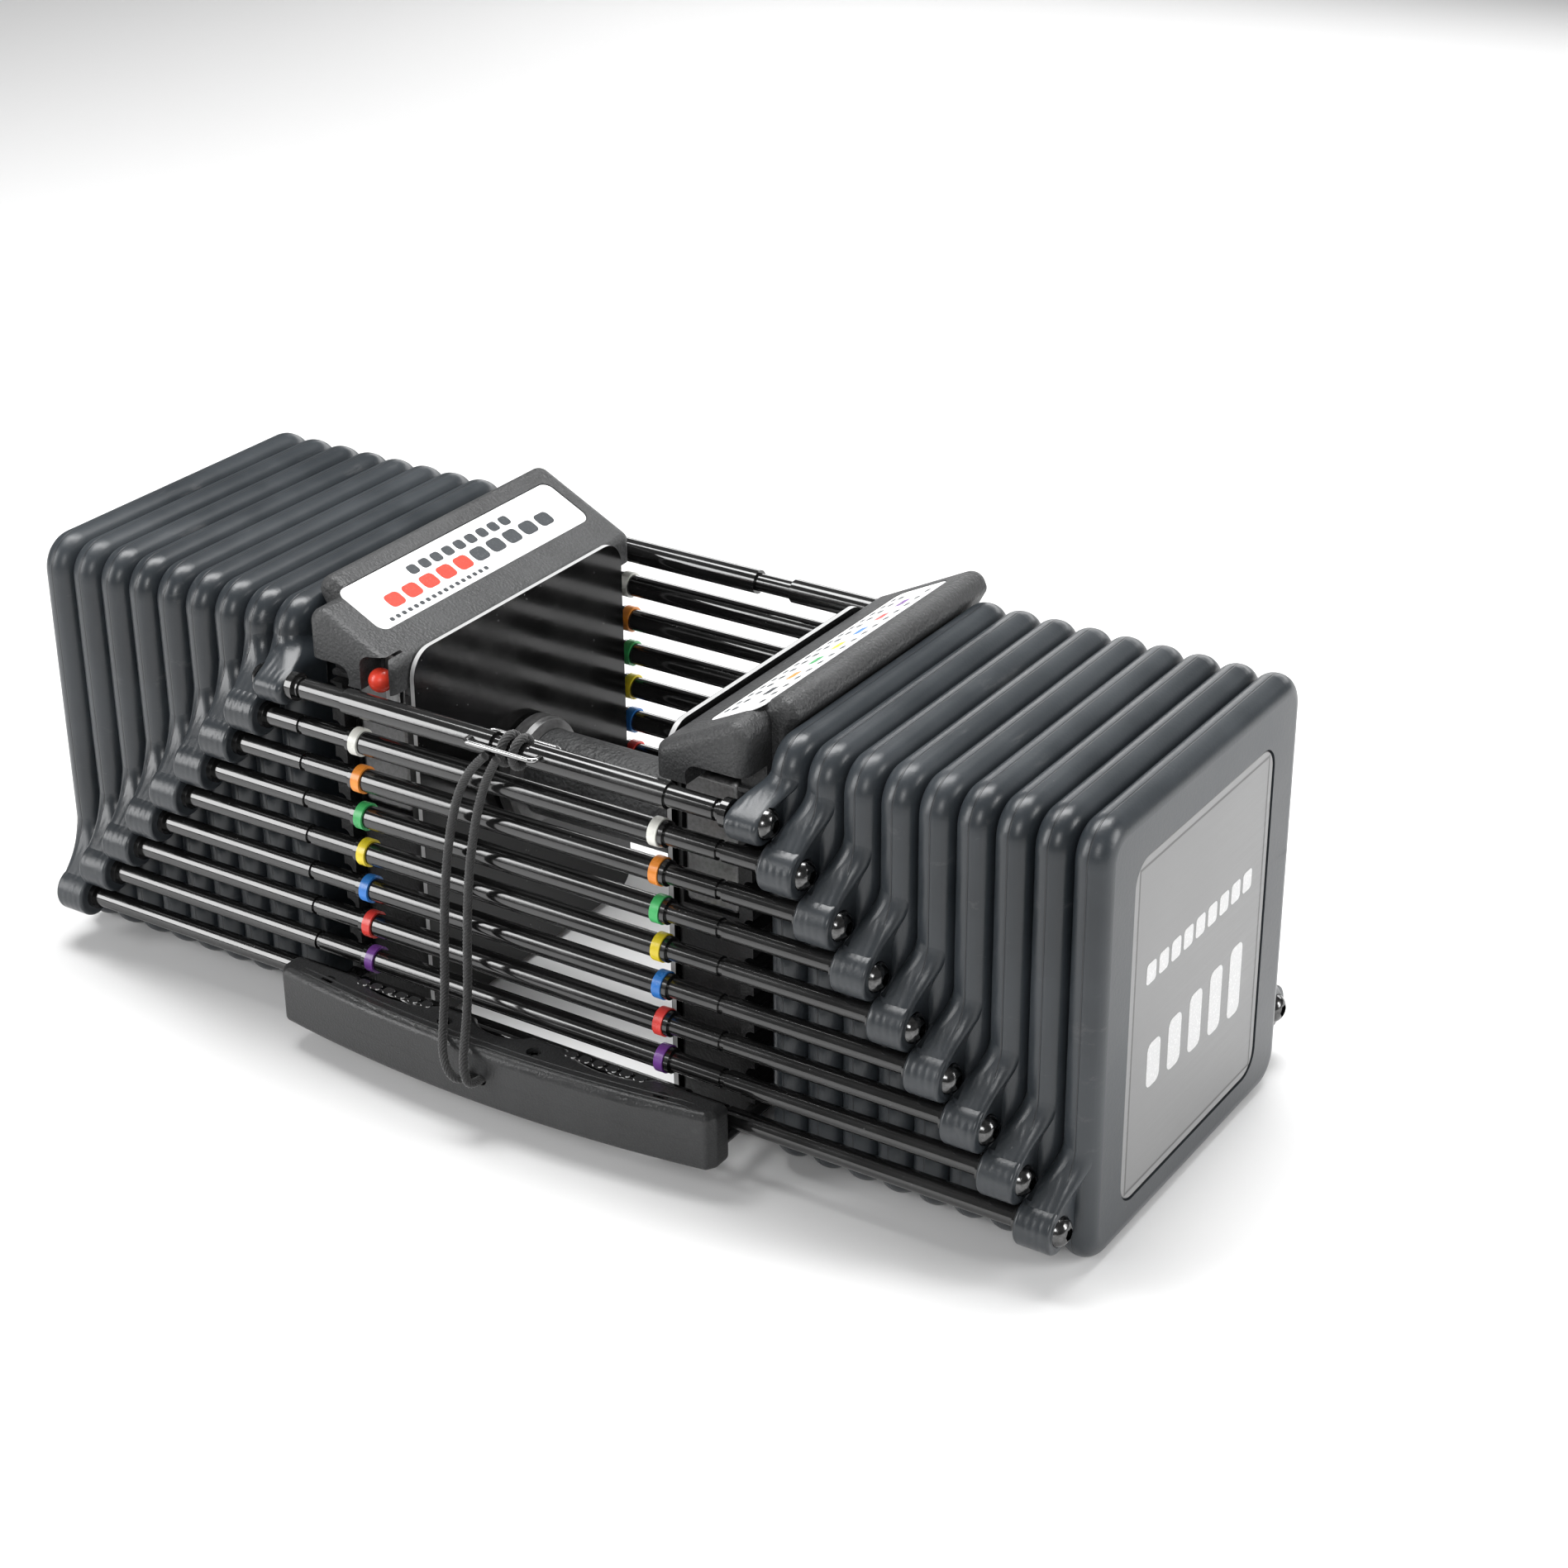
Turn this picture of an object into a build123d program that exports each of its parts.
"""Adjustable nested-block dumbbell.

Nine weight sets nest inside one another.  Each set is a pair of slab plates
tied by a front and a back rail.  A core handle stands inside the nest and a
U-shaped selector pin slides under the rails to pick how many sets are lifted.

Frame: X along the grip, -Y to the front where the pin goes in, +Z up,
origin on the floor under the middle of the grip.  Millimetres.
"""
import os
from math import cos, radians, sin, tan

from build123d import *

os.makedirs("parts", exist_ok=True)

# ---- driving dimensions -------------------------------------------------
set_count = 9
set_pitch = 13.5          # spacing of neighbouring plates along X
rail_pitch = 14.23        # spacing of neighbouring rails along Z
rail_y = 79.5             # rail axis, front (-) and back (+)
rail_z_low = 20.6         # rail axis of the outermost set

plate_width = 141.0       # along Y, lugs excluded
plate_height = 158.0
plate_thickness = 12.9
plate_corner = 13.0
plate_bullnose = 6.2      # full-round edge of the moulded coating
plate_inner_x = 96.3      # inner face of plate 1

lug_inner_x = 90.3        # inner face of lug 1
lug_length = 13.0
lug_radius = 8.2
lug_bore = 3.05

rail_radius = 4.1         # middle section, sets 2 to 9
rail_neck_radius = 3.5    # outboard section
rail_groove_radius = 2.9
rail_groove_x = 86.4
rail_spigot_radius = 3.0
rail_spigot_length = 7.5
rail_collar_radius = 4.8

top_rail_radius = 4.5     # middle section, set 1
top_rail_step_x = 66.2
top_rail_waist_radius = 3.4
top_rail_waist = (-3.0, 12.5)

band_x = (60.2, 63.6)     # colour-band ring, from and to
band_radius = 4.95

screw_head_radius = 5.2
screw_head_height = 3.4
screw_hex = 4.0           # across flats

badge_width = 100.0
badge_height = 125.6
badge_corner = 9.0
badge_depth = 1.4
badge_z = 76.0

panel_x = (52.0, 54.0)    # steel side panel
panel_width = 122.0
panel_z = (3.0, 147.6)
housing_x = (54.1, 81.9)
housing_width = 120.0
housing_z = (3.0, 131.0)
rack_x = (82.0, 87.2)     # notched rack the pin runs in
rack_width = 128.0

grip_z = 80.0
grip_radius = 16.0
grip_tube_radius = 12.9
grip_bore = 10.0
grip_flange_radius = 20.0
grip_flange_x = 42.5

adder_x = (57.5, 79.3)    # rounded bar weight in each side of the handle
adder_y = (-59.4, 58.0)
adder_z = (84.3, 133.5)

pin_x = 86.4
pin_z = 13.4
pin_radius = 2.5
pin_tip_y = 84.0
pin_bow_y = -95.0

cord_radius = 1.5

row_y = 9.0               # moves the whole footprint's middle onto the origin


def rail_z(i):
    """Height of the rail axis of set i."""
    return rail_z_low + (set_count - i) * rail_pitch


def lug_x(i):
    """Inner face of the lug of set i."""
    return lug_inner_x + (i - 1) * set_pitch


def plate_x(i):
    """Inner face of the plate body of set i."""
    return plate_inner_x + (i - 1) * set_pitch


def save(part, name):
    """Label one finished piece and write it."""
    placed = part.moved(Location((0, row_y, 0)))
    placed.label = name
    export_step(placed, f"parts/{name}.step")


# ---- weight plates ------------------------------------------------------
# slices of a neck: height over the lug axis, share of the inward step,
# front face and corner radius
neck_slices = (
    (30.0, 0.00, -69.7, 5.7),
    (24.0, 0.04, -70.6, 5.5),
    (19.0, 0.22, -72.4, 5.0),
    (14.5, 0.55, -75.6, 4.2),
    (10.0, 0.86, -80.0, 3.2),
    (5.0, 0.99, -84.6, 2.2),
    (0.0, 1.00, -86.4, 1.8),
    (-6.0, 1.00, -83.6, 1.8),
)


def slab(i, grow=0.0):
    """Slab of set i with its full-round edge, grown by a clearance."""
    with BuildPart() as body:
        with BuildSketch(Plane.YZ.offset(plate_x(i) - grow)):
            with Locations((0, plate_height / 2)):
                RectangleRounded(
                    plate_width + 2 * grow, plate_height + 2 * grow, plate_corner + grow
                )
        extrude(amount=plate_thickness + 2 * grow)
        fillet(body.edges().filter_by(Plane.YZ), plate_bullnose + 0.98 * grow)
    return body.part


def plate_neck(i):
    """Front lug and the S-curved neck that ties it to the slab, right side."""
    z = rail_z(i)
    xb = plate_x(i)
    xl = lug_x(i)
    # the upper sets have less slab above their lugs, so their necks rise less
    squat = min(1, (plate_height - plate_corner + 4 - z) / 30)
    with BuildPart() as neck:
        for rise, share, front, corner in neck_slices:
            if rise > 0:
                rise = rise * squat
            back = -58 - 2 * share
            length = plate_thickness - 0.7 + 0.6 * share
            x0 = xb + 0.35 + share * (xl - xb)
            with BuildSketch(Plane.XY.offset(z + rise)):
                with Locations((x0 + length / 2, (front + back) / 2)):
                    RectangleRounded(length, back - front, corner)
        loft()
        # the neck stops short of the set's own screw head
        with Locations(Plane.YZ.offset(xl + lug_length)):
            with Locations((-rail_y, z)):
                Cylinder(
                    screw_head_radius + 0.3,
                    4.0,
                    align=(Align.CENTER, Align.CENTER, Align.MIN),
                    mode=Mode.SUBTRACT,
                )
        if i > 1:
            # the neck wraps round the next slab inward and clears it
            add(slab(i - 1, 0.35), mode=Mode.SUBTRACT)
            # room for the screw head of the set above
            with Locations(Plane.YZ.offset(xl - 0.6)):
                with Locations((-rail_y, rail_z(i - 1))):
                    Cylinder(
                        screw_head_radius + 0.5,
                        4.0,
                        align=(Align.CENTER, Align.CENTER, Align.MIN),
                        mode=Mode.SUBTRACT,
                    )
    with BuildPart() as lug:
        with Locations(Plane.YZ.offset(xl)):
            with Locations((-rail_y, z)):
                Cylinder(
                    lug_radius,
                    lug_length,
                    align=(Align.CENTER, Align.CENTER, Align.MIN),
                )
        fillet(lug.edges(), 1.2)
    return neck.part + lug.part


def make_plate(i):
    """One slab plate with its two lugs, right side."""
    z = rail_z(i)
    xb = plate_x(i)
    neck = plate_neck(i)
    with BuildPart() as plate:
        add(slab(i))
        add(neck)
        add(mirror(neck, about=Plane.XZ))
        # through bore for the rail spigot and the screw
        with Locations(Plane.YZ.offset(lug_x(i) - 1)):
            with Locations((-rail_y, z), (rail_y, z)):
                Cylinder(
                    lug_bore,
                    lug_length + 2,
                    align=(Align.CENTER, Align.CENTER, Align.MIN),
                    mode=Mode.SUBTRACT,
                )
        if i == set_count:
            # shallow pocket for the end badge
            with BuildSketch(Plane.YZ.offset(xb + plate_thickness)):
                with Locations((0, badge_z)):
                    RectangleRounded(badge_width, badge_height, badge_corner)
            extrude(amount=-badge_depth, mode=Mode.SUBTRACT)
    # slab, necks and lugs are one casting, about 280 cm3
    assert len(plate.part.solids()) == 1, f"plate {i} is in pieces"
    assert plate.part.volume > 262000, f"plate {i} has lost its necks"
    return plate.part


for i in range(1, set_count + 1):
    right_plate = make_plate(i)
    save(mirror(right_plate, about=Plane.YZ), f"plate_left_{i}")
    save(right_plate, f"plate_right_{i}")

# ---- end badges ---------------------------------------------------------
with BuildPart() as end_badges:
    badge_face = plate_x(set_count) + plate_thickness - badge_depth
    with BuildSketch(Plane.YZ.offset(badge_face)):
        with Locations((0, badge_z)):
            RectangleRounded(badge_width - 1.2, badge_height - 1.2, badge_corner - 0.6)
    extrude(amount=badge_depth - 0.4)
    fillet(end_badges.faces().sort_by(Axis.X)[-1].edges(), 0.4)
    mirror(about=Plane.YZ)
save(end_badges.part, "end_badges")


# ---- rails --------------------------------------------------------------
def rail_profile(i):
    """Half section of a rail as (x, radius) steps from the middle outward."""
    end = lug_x(i)
    if i == 1:
        steps = [
            (top_rail_waist[1], top_rail_waist_radius),
            (top_rail_step_x, top_rail_radius),
            (84.6, 3.7),
            (86.0, 3.0),
            (87.6, 3.7),
            (end, 5.0),
        ]
    else:
        steps = [
            (band_x[1] + 0.1, rail_radius),
            (band_x[1] + 1.9, 4.5),
            (rail_groove_x - 1.1, rail_neck_radius),
            (rail_groove_x + 1.1, rail_groove_radius),
            (end - 2.0, rail_neck_radius),
            (end, rail_collar_radius),
        ]
        if i == set_count:
            steps = [(70.0, rail_radius)] + steps[2:]
    steps.append((end + rail_spigot_length, rail_spigot_radius))
    return steps


def rail_points(i):
    """Closed outline in the (x, radius) half plane, both ends."""
    right = []
    x0 = 0.0
    for x1, r in rail_profile(i):
        right.append((x0, r))
        right.append((x1, r))
        x0 = x1
    left = [(-x, r) for x, r in reversed(right)]
    if i == 1:
        # the cord waist sits to the right of the middle
        left = [(x, r) for x, r in left if x < top_rail_waist[0] - 9.6]
        waist = [(top_rail_waist[0], top_rail_radius)]
        waist.append((top_rail_waist[0], top_rail_waist_radius))
        left = left + waist
        right = right[1:]
    else:
        right = right[1:]
        left = left[:-1]
    outline = left + right
    outline = [(outline[0][0], 0.0)] + outline + [(outline[-1][0], 0.0)]
    return outline


def make_rails(i):
    """Front and back rail of set i."""
    z = rail_z(i)
    with BuildPart() as rails:
        with BuildSketch(Plane.XZ.offset(rail_y)):
            with BuildLine():
                Polyline([(x, z + r) for x, r in rail_points(i)], close=True)
            make_face()
        revolve(axis=Axis((0, -rail_y, z), (1, 0, 0)), revolution_arc=360)
        mirror(about=Plane.XZ)
    return rails.part


for i in range(1, set_count + 1):
    save(make_rails(i), f"rails_{i}")

# ---- colour bands -------------------------------------------------------
for i in range(2, set_count):
    with BuildPart() as bands:
        with BuildSketch(Plane.YZ.offset(band_x[0])):
            with Locations((-rail_y, rail_z(i)), (rail_y, rail_z(i))):
                Circle(band_radius)
                Circle(rail_radius + 0.02, mode=Mode.SUBTRACT)
        extrude(amount=band_x[1] - band_x[0])
        mirror(about=Plane.YZ)
    save(bands.part, f"bands_{i}")

# ---- lug screws: button head, hex socket --------------------------------
for i in range(1, set_count + 1):
    x_head = lug_x(i) + lug_length
    with BuildPart() as screws:
        with BuildSketch(Plane.XZ.offset(rail_y)):
            with BuildLine():
                zc = rail_z(i)
                Line((x_head - 4.8, zc), (x_head - 4.8, zc + 2.9))
                Line((x_head - 4.8, zc + 2.9), (x_head, zc + 2.9))
                Line((x_head, zc + 2.9), (x_head, zc + screw_head_radius))
                ThreePointArc(
                    (x_head, zc + screw_head_radius),
                    (x_head + 2.35, zc + 3.9),
                    (x_head + screw_head_height, zc + 1.2),
                )
                Line((x_head + screw_head_height, zc + 1.2), (x_head + screw_head_height, zc))
                Line((x_head + screw_head_height, zc), (x_head - 4.8, zc))
            make_face()
        revolve(axis=Axis((0, -rail_y, zc), (1, 0, 0)), revolution_arc=360)
        with BuildSketch(Plane.YZ.offset(x_head + screw_head_height)):
            with Locations((-rail_y, zc)):
                RegularPolygon(screw_hex / 2, 6, major_radius=False)
        extrude(amount=-2.2, mode=Mode.SUBTRACT)
        mirror(about=Plane.XZ)
        mirror(about=Plane.YZ)
    save(screws.part, f"screws_{i}")

# ---- core handle: side panels -------------------------------------------
with BuildPart() as side_panels:
    with BuildSketch(Plane.YZ.offset(panel_x[0])):
        with Locations((0, (panel_z[0] + panel_z[1]) / 2)):
            RectangleRounded(panel_width, panel_z[1] - panel_z[0], 10)
        with Locations((0, grip_z)):
            Circle(grip_tube_radius + 0.05, mode=Mode.SUBTRACT)
    extrude(amount=panel_x[1] - panel_x[0])
    mirror(about=Plane.YZ)
save(side_panels.part, "side_panels")

# ---- core handle: housings with the bar-weight bay -----------------------
with BuildPart() as housings:
    with Locations(((housing_x[0] + housing_x[1]) / 2, 0, housing_z[0])):
        Box(
            housing_x[1] - housing_x[0],
            housing_width,
            housing_z[1] - housing_z[0],
            align=(Align.CENTER, Align.CENTER, Align.MIN),
        )
    fillet(housings.edges().filter_by(Axis.Z), 3)
    fillet(housings.faces().sort_by(Axis.Z)[0].edges(), 1.5)
    # bay for the bar weight, open to the front and the top
    with Locations(((adder_x[0] + adder_x[1]) / 2, -62, adder_z[0] - 0.3)):
        Box(
            adder_x[1] - adder_x[0] + 0.4,
            62 + adder_y[1] + 0.3,
            80,
            align=(Align.CENTER, Align.MIN, Align.MIN),
            mode=Mode.SUBTRACT,
        )
    # seat for the grip tube in the inner wall
    with Locations(Plane.YZ.offset(housing_x[0] - 1)):
        with Locations((0, grip_z)):
            Cylinder(
                grip_tube_radius + 0.05,
                4.0,
                align=(Align.CENTER, Align.CENTER, Align.MIN),
                mode=Mode.SUBTRACT,
            )
    mirror(about=Plane.YZ)
save(housings.part, "housings")

# ---- core handle: notched racks ------------------------------------------
with BuildPart() as racks:
    rack_z0 = pin_z + pin_radius + 0.7
    with Locations(((rack_x[0] + rack_x[1]) / 2, 0, rack_z0)):
        Box(
            rack_x[1] - rack_x[0],
            rack_width,
            housing_z[1] - rack_z0,
            align=(Align.CENTER, Align.CENTER, Align.MIN),
        )
    # one running groove under each rail level above the lowest
    with BuildSketch(Plane.XZ.offset(rack_width / 2 + 1)):
        for i in range(1, set_count):
            with Locations((pin_x, rail_z(i) - (rail_z_low - pin_z))):
                Circle(pin_radius + 0.3)
    extrude(amount=-(rack_width + 2), mode=Mode.SUBTRACT)
    mirror(about=Plane.YZ)
save(racks.part, "racks")


# ---- core handle: top covers ---------------------------------------------
slope = radians(26.8)
cover_low = (54.4, 145.8)   # inner lower end of the slope
cover_front_x = 89.5        # the front end stops short of the necks
label_x = (66.3, 87.1)
label_y = (-58.4, 63.0)


def slope_z(x):
    """Height of the sloped cover face at distance x from the middle."""
    return cover_low[1] + (x - cover_low[0]) * tan(slope)


def cover_block(points, y0, y1, rounds):
    """Prism along Y with rounded profile corners and rounded free ends."""
    with BuildPart() as block:
        with BuildSketch(Plane.XZ.offset(-y0)) as profile:
            with BuildLine():
                Polyline(*points, close=True)
            make_face()
            for (x, z), r in rounds:
                corner = [
                    v for v in profile.vertices() if abs(v.X - x) < 0.2 and abs(v.Y - z) < 0.2
                ]
                fillet(corner[0], r)
        extrude(amount=-(y1 - y0))
        for y in (y0, y1):
            if y != 0:
                loop = [
                    e
                    for e in block.edges()
                    if abs(e.center().Y - y) < 0.01 and e.center().Z > 131.5
                ]
                for r in (4.0, 3.2, 2.4, 1.6, 1.0):
                    try:
                        fillet(loop, r)
                        print("cover end rounded", r)
                        break
                    except Exception:
                        continue
    return block.part


def make_cover(left):
    """Moulded top cover, built on the right and mirrored for the left."""
    front_top = (cover_front_x, slope_z(cover_front_x))
    crest = (95.5, slope_z(95.5))
    with BuildPart() as cover:
        add(
            cover_block(
                [(54.4, 131.2), cover_low, front_top, (cover_front_x, 131.2)],
                -71,
                0,
                [(cover_low, 3.6), (front_top, 5.2)],
            )
        )
        add(
            cover_block(
                [
                    (54.4, 131.2),
                    cover_low,
                    crest,
                    (98.8, 159.0),
                    (95.6, 153.0),
                    (95.3, 142),
                    (91.5, 131.2),
                ],
                -55,
                71,
                [(cover_low, 3.6), (crest, 5.0), ((98.8, 159.0), 2.4)],
            )
        )
        # the rear end is narrow low down, to pass the rear neck
        with Locations((cover_front_x, 55, 129)):
            Box(
                12,
                18,
                24,
                align=(Align.MIN, Align.MIN, Align.MIN),
                mode=Mode.SUBTRACT,
            )
        # shallow seat for the label
        seat_x = (label_x[0] + label_x[1]) / 2
        seat = Plane(
            origin=(seat_x, (label_y[0] + label_y[1]) / 2, slope_z(seat_x)),
            x_dir=(0, 1, 0),
            z_dir=(-sin(slope), 0, cos(slope)),
        )
        with BuildSketch(seat):
            RectangleRounded(
                label_y[1] - label_y[0], (label_x[1] - label_x[0]) / cos(slope), 4.4
            )
        extrude(amount=-0.45, mode=Mode.SUBTRACT)
        # hollow over the bar weight
        with Locations(((adder_x[0] + adder_x[1]) / 2, 0, 130)):
            Box(
                adder_x[1] - adder_x[0] + 0.4,
                120.4,
                5,
                align=(Align.CENTER, Align.CENTER, Align.MIN),
                mode=Mode.SUBTRACT,
            )
        # the nose stops above the bar weight, at both ends
        for y in (-66, 66):
            with Locations((70, y, 130)):
                Box(
                    60,
                    12,
                    5,
                    align=(Align.CENTER, Align.CENTER, Align.MIN),
                    mode=Mode.SUBTRACT,
                )
        # front mouth over the end of the bar weight
        x_in = 72.5 if left else 66.5
        with BuildSketch(Plane.XZ.offset(72)):
            with Locations(((x_in + 100) / 2, 137.6)):
                RectangleRounded(100 - x_in, 9.4, 4.4)
        extrude(amount=-14, mode=Mode.SUBTRACT)
        if left:
            # recess the lock knob slides in
            with BuildSketch(Plane.XZ.offset(72)):
                with Locations((61.4, 138)):
                    RectangleRounded(11.6, 20, 4)
            extrude(amount=-12.3, mode=Mode.SUBTRACT)
    return cover.part


save(make_cover(False), "cover_right")
save(mirror(make_cover(True), about=Plane.YZ), "cover_left")

# ---- core handle: grip ----------------------------------------------------
with BuildPart() as grip_tube:
    with BuildSketch(Plane.XZ):
        with BuildLine():
            Polyline(
                (0, grip_z + grip_bore),
                (0, grip_z + grip_tube_radius),
                (grip_flange_x, grip_z + grip_tube_radius),
                (grip_flange_x, grip_z + grip_radius + 0.4),
                (grip_flange_x + 1.6, grip_z + grip_flange_radius - 0.8),
                (grip_flange_x + 3.6, grip_z + grip_flange_radius),
                (panel_x[0] - 1.2, grip_z + grip_flange_radius),
                (panel_x[0], grip_z + grip_flange_radius - 1.2),
                (panel_x[0], grip_z + grip_tube_radius),
                (57.0, grip_z + grip_tube_radius),
                (57.0, grip_z + grip_bore),
                close=True,
            )
        make_face()
        mirror(about=Plane.YZ)
    revolve(axis=Axis((0, 0, grip_z), (1, 0, 0)), revolution_arc=360)
save(grip_tube.part, "grip_tube")

with BuildPart() as grip_sleeve:
    with BuildSketch(Plane.YZ.offset(-grip_flange_x + 0.1)):
        with Locations((0, grip_z)):
            Circle(grip_radius)
            Circle(grip_tube_radius + 0.02, mode=Mode.SUBTRACT)
    extrude(amount=2 * grip_flange_x - 0.2)
save(grip_sleeve.part, "grip_sleeve")

# ---- core handle: bar weights --------------------------------------------
with BuildPart() as adder_weights:
    with Locations(((adder_x[0] + adder_x[1]) / 2, adder_y[0], adder_z[0])):
        Box(
            adder_x[1] - adder_x[0],
            adder_y[1] - adder_y[0],
            adder_z[1] - adder_z[0],
            align=(Align.CENTER, Align.MIN, Align.MIN),
        )
    fillet(adder_weights.edges().filter_by(Axis.Y), 2.5)
    fillet(adder_weights.faces().sort_by(Axis.Y)[0].edges(), 2)
    mirror(about=Plane.YZ)
save(adder_weights.part, "adder_weights")

# ---- bar-weight lock: blade and knob --------------------------------------
lock_x = -61.4
lock_z = 138.6
knob_y = -67.2
with BuildPart() as lock_blade:
    with Locations((lock_x, -60.8, lock_z - 12)):
        Box(6, 1.2, 19, align=(Align.CENTER, Align.CENTER, Align.MIN))
    fillet(lock_blade.edges().filter_by(Axis.Y), 1.2)
    with Locations(Plane.XZ.offset(61.4)):
        with Locations((lock_x, lock_z)):
            Cylinder(1.6, 3.4, align=(Align.CENTER, Align.CENTER, Align.MIN))
save(lock_blade.part, "lock_blade")

with BuildPart() as lock_knob:
    with Locations((lock_x, knob_y, lock_z)):
        Sphere(4.3)
    with Locations(Plane.XZ.offset(61.4)):
        with Locations((lock_x, lock_z)):
            Cylinder(
                1.6,
                3.4,
                align=(Align.CENTER, Align.CENTER, Align.MIN),
                mode=Mode.SUBTRACT,
            )
save(lock_knob.part, "lock_knob")

# ---- selector pin ----------------------------------------------------------
with BuildPart() as pin_prongs:
    with BuildLine() as bow:
        FilletPolyline(
            (-pin_x, pin_tip_y - 2, pin_z),
            (-pin_x, pin_bow_y, pin_z),
            (pin_x, pin_bow_y, pin_z),
            (pin_x, pin_tip_y - 2, pin_z),
            radius=8,
        )
    with BuildSketch(Plane(origin=(-pin_x, pin_tip_y - 2, pin_z), z_dir=(0, -1, 0))):
        Circle(pin_radius)
    sweep(path=bow.line)
    for x in (-pin_x, pin_x):
        with Locations(Plane(origin=(x, pin_tip_y - 2, pin_z), z_dir=(0, 1, 0))):
            Cone(pin_radius, pin_radius - 1.2, 2, align=(Align.CENTER, Align.CENTER, Align.MIN))
save(pin_prongs.part, "pin_prongs")

shell_low = (9.5, 20.4)
shell_high = (20.45, 31.5)
boss_x = (-71.0, -19.0, 19.0, 71.0)


def shell_outline():
    """Plan of the pin handle: bowed front, scalloped back."""
    with BuildSketch() as plan:
        with BuildLine():
            ThreePointArc((-90, -98.2), (0, -105.6), (90, -98.2))
            Line((90, -98.2), (92.4, -94.5))
            Line((92.4, -94.5), (92.4, -86.6))
            Line((92.4, -86.6), (-92.4, -86.6))
            Line((-92.4, -86.6), (-92.4, -94.5))
            Line((-92.4, -94.5), (-90, -98.2))
        make_face()
        for x in (-45, 0, 45):
            with Locations((x, -80.6)):
                if x == 0:
                    Ellipse(14, 11.5, mode=Mode.SUBTRACT)
                else:
                    Ellipse(21, 11.5, mode=Mode.SUBTRACT)
        corners = [v for v in plan.vertices() if abs(v.X) > 89]
        fillet(corners, 2.4)
    return plan.sketch


def make_shell(z0, z1, upper):
    """One half of the pin handle."""
    outline = shell_outline()
    with BuildPart() as shell:
        with BuildSketch(Plane.XY.offset(z0)):
            add(outline)
        extrude(amount=z1 - z0)
        index = -1 if upper else 0
        rim = shell.faces().sort_by(Axis.Z)[index].edges()
        for r in (3.0, 2.4, 1.9, 1.5, 1.2):
            try:
                fillet(rim, r)
                print("pin shell rim", r)
                break
            except Exception:
                continue
        if upper:
            # counterbored wells over the assembly screws
            with Locations(*[(x, -95.6, z1) for x in boss_x]):
                CounterBoreHole(1.4, 2.7, 3.0, depth=z1 - z0)
        else:
            add(pin_prongs.part, mode=Mode.SUBTRACT)
        # slot the cord enters, on the parting line
        with BuildSketch(Plane.XZ.offset(108)):
            with Locations((1.4, 20.4)):
                SlotOverall(8.4, 3.9)
        extrude(amount=-9.5, mode=Mode.SUBTRACT)
    return shell.part


save(make_shell(*shell_low, False), "pin_shell_lower")
save(make_shell(*shell_high, True), "pin_shell_upper")


# ---- elastic cord -----------------------------------------------------------
def cord_solid(points):
    """Round cord along straight runs joined by tangent arcs."""
    vectors = [Vector(*p) for p in points]
    radii = []
    for a, b, c in zip(vectors, vectors[1:], vectors[2:]):
        turn = (b - a).get_angle(c - b)
        shorter = min((b - a).length, (c - b).length)
        radii.append(0.45 * shorter / tan(radians(turn / 2)))
    print("cord radii", [round(r, 1) for r in radii])
    with BuildPart() as cord:
        with BuildLine() as route:
            FilletPolyline(*points, radius=radii)
        start = Plane(origin=points[0], z_dir=vectors[1] - vectors[0])
        with BuildSketch(start):
            Circle(cord_radius)
        sweep(path=route.line)
    section = 3.14159265 * cord_radius ** 2
    length = route.wires()[0].length
    print("cord length", round(length, 1), "ratio", cord.part.volume / section / length)
    return cord.part


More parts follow.
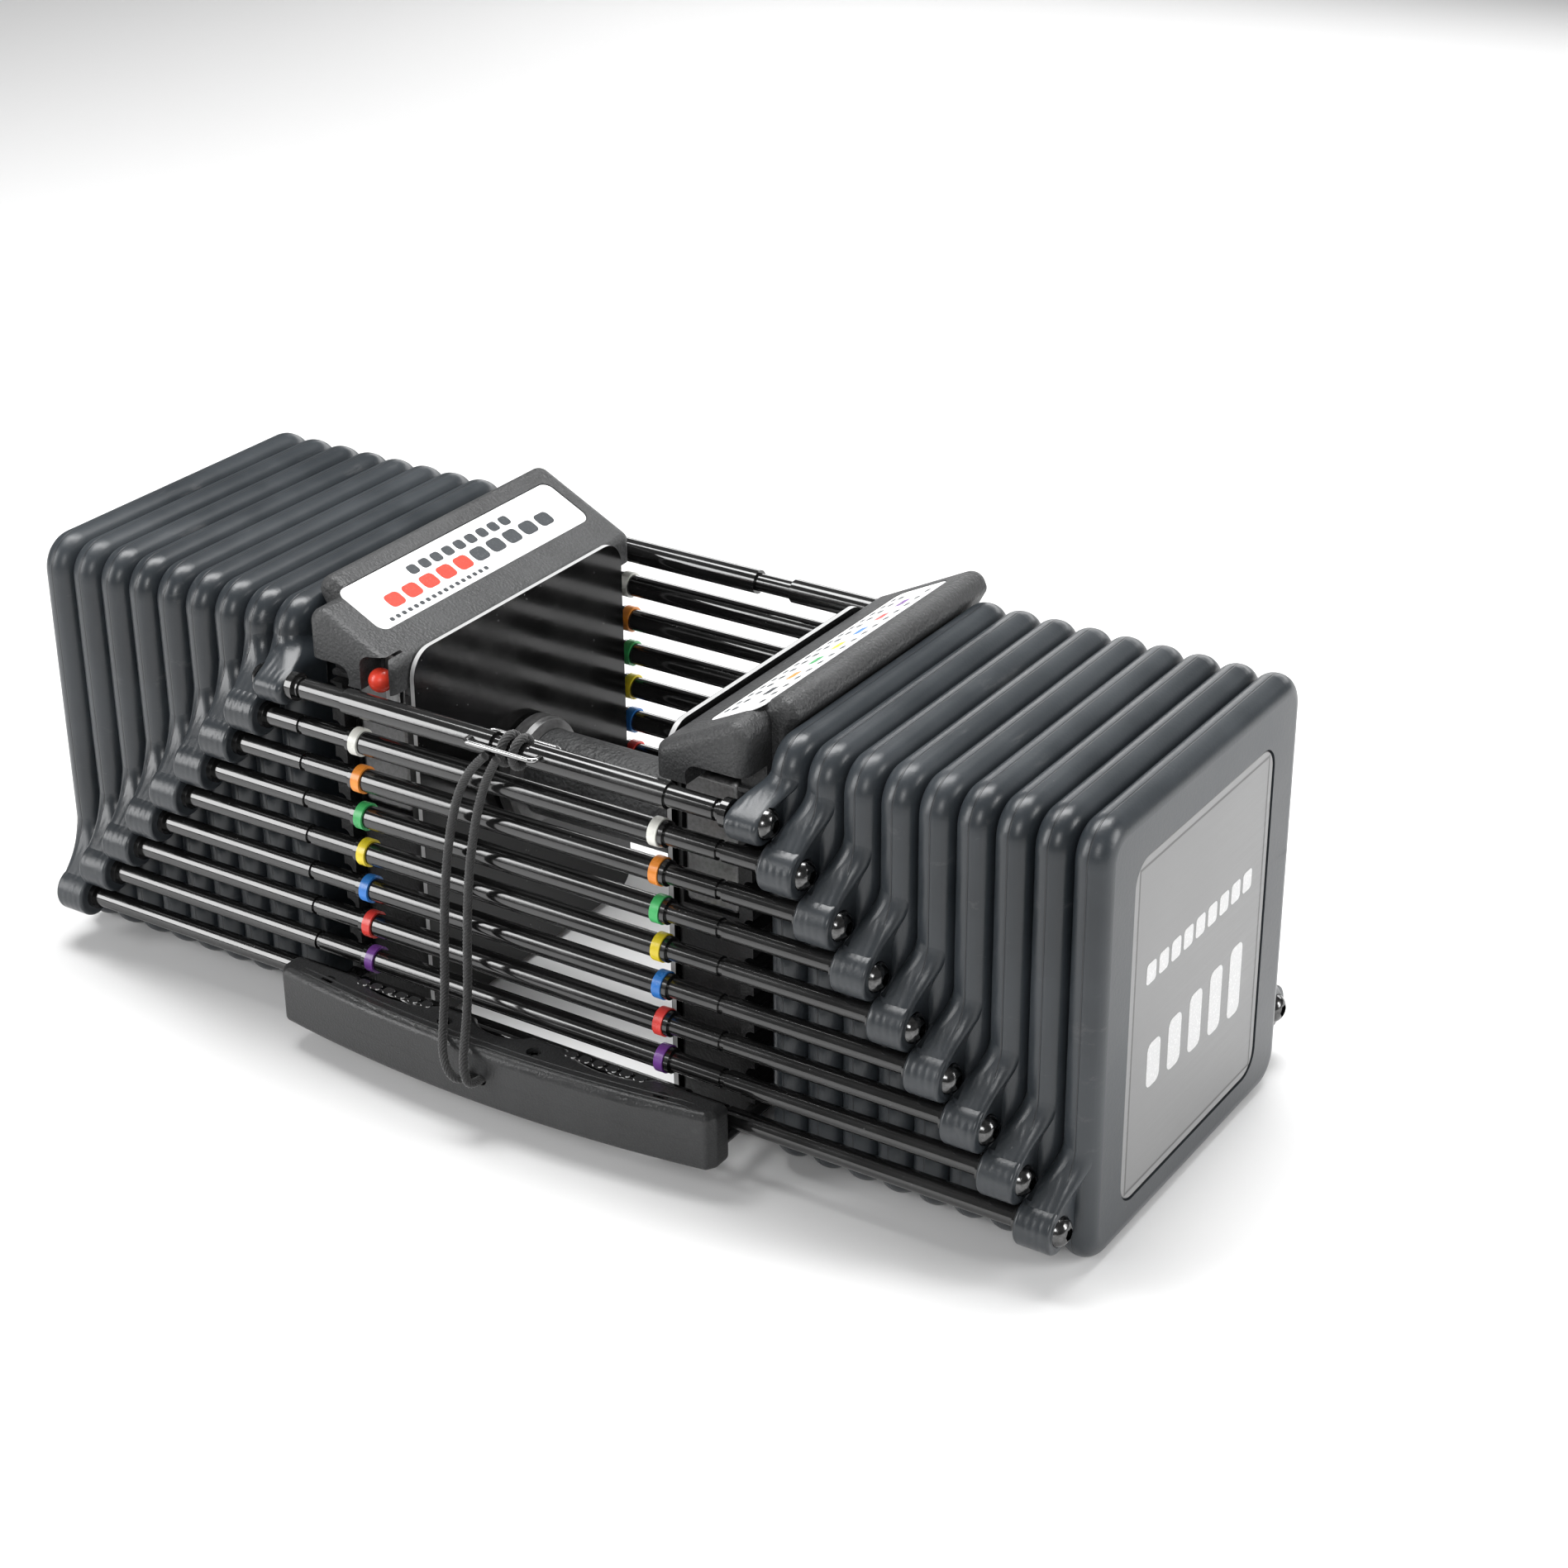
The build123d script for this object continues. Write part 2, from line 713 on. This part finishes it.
strand_a = [
    (-1.4, -87.7, 134.2),
    (-7.0, -87.6, 129.0),
    (-13.4, -87.8, 118.2),
    (-17.6, -88.4, 102.5),
    (-20.0, -89.6, 83.0),
    (-20.0, -92.0, 62.5),
    (-17.0, -96.8, 45.0),
    (-12.6, -104.6, 34.6),
    (-7.6, -111.6, 28.4),
    (-3.0, -112.6, 22.4),
    (-0.8, -107.6, 20.4),
    (-0.4, -101.4, 20.4),
]
strand_b = [
    (3.4, -87.7, 134.2),
    (-0.4, -87.6, 128.2),
    (-4.8, -87.8, 116.6),
    (-8.3, -88.4, 101.0),
    (-10.4, -89.6, 83.0),
    (-10.2, -92.0, 62.0),
    (-7.2, -96.8, 45.0),
    (-3.0, -104.6, 35.0),
    (1.0, -111.6, 28.8),
    (3.2, -112.8, 22.4),
    (3.4, -107.6, 20.4),
    (3.2, -101.4, 20.4),
]
with BuildPart() as cord_strands:
    add(cord_solid(strand_a))
    add(cord_solid(strand_b))
save(cord_strands.part, "cord_strands")

wrap_x = (2.4, 7.4)
with BuildPart() as cord_wrap:
    for x in wrap_x:
        with Locations(Plane(origin=(x, -rail_y, rail_z(1)), z_dir=(1, 0, 0))):
            Torus(top_rail_waist_radius + 0.05 + cord_radius, cord_radius)
save(cord_wrap.part, "cord_wrap")

# wire clip: a staple on each side of the rail, outside the wrap
with BuildPart() as cord_clip:
    wire_r = 0.95
    for side, rise in ((-1, 2.5), (1, 0.5)):
        far = -rail_y + side * 7.5
        near = -rail_y + side * (top_rail_radius - 0.35)
        z = rail_z(1) + rise
        with BuildLine() as staple:
            FilletPolyline(
                (-10.5, near, z),
                (-10.5, far, z),
                (18.0, far, z),
                (18.0, near, z),
                radius=1.9,
            )
        with BuildSketch(Plane(origin=staple.line @ 0, z_dir=staple.line % 0)):
            Circle(wire_r)
        sweep(path=staple.line)
    # the staple ends stop on the rail's surface
    with Locations(Plane(origin=(-30, -rail_y, rail_z(1)), z_dir=(1, 0, 0))):
        Cylinder(
            top_rail_radius + 0.04,
            60,
            align=(Align.CENTER, Align.CENTER, Align.MIN),
            mode=Mode.SUBTRACT,
        )
save(cord_clip.part, "cord_clip")
